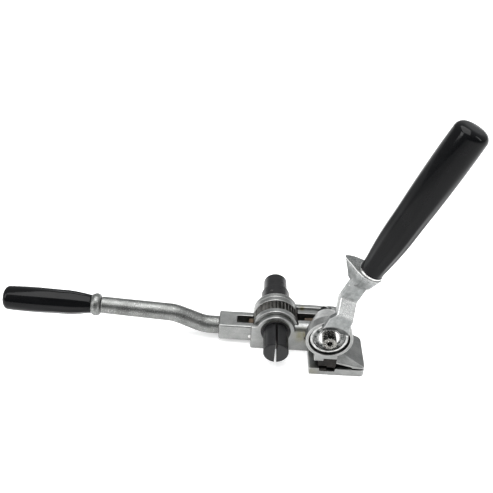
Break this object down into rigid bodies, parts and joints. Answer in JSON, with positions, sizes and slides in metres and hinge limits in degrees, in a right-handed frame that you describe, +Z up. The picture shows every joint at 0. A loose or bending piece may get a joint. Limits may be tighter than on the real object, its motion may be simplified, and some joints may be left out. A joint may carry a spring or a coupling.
{
  "type": "banding tool",
  "caption": "Ratchet tool for steel band: a slotted windlass tightens the band, a holding pawl keeps it tight and a lever-driven blade shears it in the nose.",
  "frame": {"origin": "on the flat sole of the nose, straight below the cutter axis and on the band's centreline", "axes": "+X from the ratchet handle towards the nose tip, +Z up from the sole, +Y from the open band side towards the rear cheek; windlass and cutter axes run along Y"},
  "size_m": [0.4108, 0.1126, 0.2608],
  "materials": {
    "frame_steel": "satin plated cast steel",
    "forged_steel": "satin plated forging, fine cast texture",
    "chrome": "polished",
    "black_oxide": "black oxide",
    "dark_fastener": "blackened steel",
    "tool_steel": "hardened tool steel, oiled",
    "pawl_steel": "heat-browned steel",
    "spring_steel": "drawn wire",
    "bronze": "bearing bronze",
    "grip_plastic": "glossy black moulded grip"
  },
  "bodies": {
    "frame": {"main_frame": "frame_steel", "rear_cheek": "frame_steel", "cheek_screws": "dark_fastener", "cheek_lock_pin": "black_oxide", "front_bushing": "bronze", "rear_bushing": "bronze", "holding_pawl_pin": "dark_fastener", "shear_die": "tool_steel", "die_screw": "dark_fastener"},
    "windlass": {"windlass_shaft": "black_oxide", "ratchet_gear": "tool_steel", "gear_key": "dark_fastener", "rear_collar": "black_oxide", "collar_pin": "dark_fastener", "retaining_ring": "black_oxide"},
    "handle": {"handle_fork": "forged_steel", "handle_rod": "forged_steel", "grip_collar": "forged_steel", "handle_grip": "grip_plastic", "drive_pawl_pin": "dark_fastener"},
    "drive_pawl": {"drive_pawl": "pawl_steel", "drive_pawl_spring": "spring_steel"},
    "holding_pawl": {"holding_pawl": "pawl_steel", "holding_pawl_spring": "spring_steel"},
    "cutter": {"cutter_shaft": "chrome", "cutter_lever": "forged_steel", "lever_pin": "dark_fastener", "cap_screw": "dark_fastener", "shaft_nut": "black_oxide", "grip_ferrule": "chrome", "lever_grip": "grip_plastic"},
    "blade": {"cutter_blade": "tool_steel"}
  },
  "joints": [
    {"name": "windlass_turn", "type": "hinge", "parent": "frame", "child": "windlass", "pos_m": [-0.0475, 0.03165, 0.023], "axis": [0, 1, 0], "continuous": true},
    {"name": "handle_swing", "type": "hinge", "parent": "frame", "child": "handle", "pos_m": [-0.0475, 0.03165, 0.023], "axis": [0, 1, 0], "range_deg": [-10, 130]},
    {"name": "drive_pawl_tilt", "type": "hinge", "parent": "handle", "child": "drive_pawl", "pos_m": [-0.072, 0.03165, 0.0105], "axis": [0, -1, 0], "range_deg": [-8, 2], "stiffness_Nm_per_rad": 0.05, "springref_deg": -25.78},
    {"name": "holding_pawl_tilt", "type": "hinge", "parent": "frame", "child": "holding_pawl", "pos_m": [-0.017, 0.03165, 0.017], "axis": [0, -1, 0], "range_deg": [-5, 2], "stiffness_Nm_per_rad": 0.1, "springref_deg": -22.92},
    {"name": "lever_swing", "type": "hinge", "parent": "frame", "child": "cutter", "pos_m": [0, 0, 0.0445], "axis": [0, 1, 0], "range_deg": [0, 60]},
    {"name": "blade_slide", "type": "slide", "parent": "frame", "child": "blade", "axis": [0, 0, -1], "range_m": [0, 0.0026]}
  ],
  "couplings": [
    {"joint": "blade_slide", "follows": "lever_swing", "m_per_rad": 0.002481}
  ]
}
